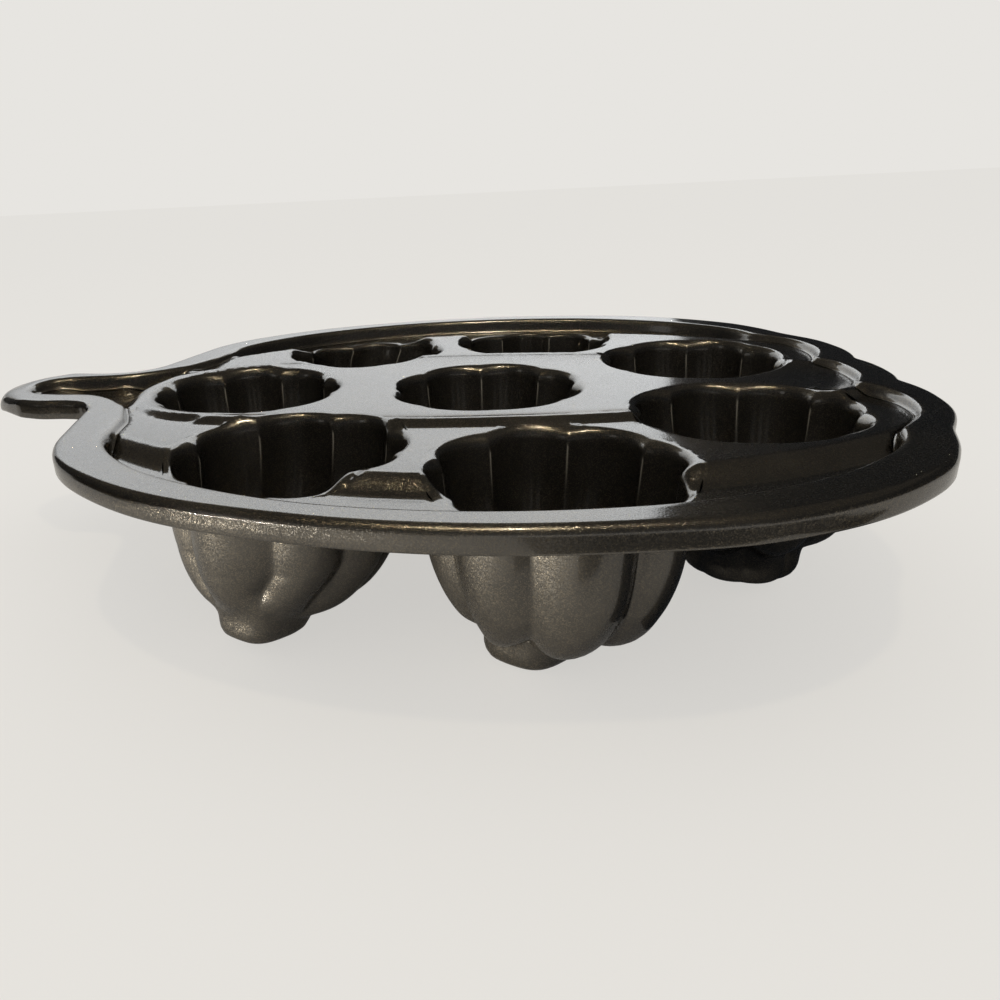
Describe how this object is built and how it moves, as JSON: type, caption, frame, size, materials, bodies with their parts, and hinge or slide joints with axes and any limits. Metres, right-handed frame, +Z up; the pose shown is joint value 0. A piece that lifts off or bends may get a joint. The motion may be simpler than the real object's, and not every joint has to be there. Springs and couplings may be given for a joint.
{
  "type": "cakelet pan",
  "caption": "One-piece cast baking pan shaped like a ribbed pumpkin, with fluted cups and a stem for its handle.",
  "frame": {"origin": "on the resting plane, under the middle of the pan's bounding box", "axes": "+X away from the stem handle, towards the blossom end, +Z up out of the cups"},
  "size_m": [0.3498, 0.293, 0.0639],
  "materials": {
    "non_stick_cast": "cast, dark bronze-grey non-stick coating with a fine metallic sparkle, satin"
  },
  "bodies": {
    "root": {"rim_flange": "non_stick_cast", "recess_wall": "non_stick_cast", "handle": "non_stick_cast", "handle_cove": "non_stick_cast", "deck_rib_center": "non_stick_cast", "deck_rib_back": "non_stick_cast", "deck_rib_front": "non_stick_cast", "deck_rib_back_outer": "non_stick_cast", "deck_rib_front_outer": "non_stick_cast", "deck_tab_back": "non_stick_cast", "deck_tab_front": "non_stick_cast", "cup_center": "non_stick_cast", "cup_stem_side": "non_stick_cast", "cup_front_left": "non_stick_cast", "cup_front": "non_stick_cast", "cup_right_front": "non_stick_cast", "cup_right_back": "non_stick_cast", "cup_back": "non_stick_cast", "cup_back_left": "non_stick_cast", "foot_center": "non_stick_cast", "foot_stem_side": "non_stick_cast", "stem_end_front_left": "non_stick_cast", "stem_end_front": "non_stick_cast", "foot_right_front": "non_stick_cast", "foot_right_back": "non_stick_cast", "stem_end_back": "non_stick_cast", "stem_end_back_left": "non_stick_cast"}
  },
  "joints": []
}
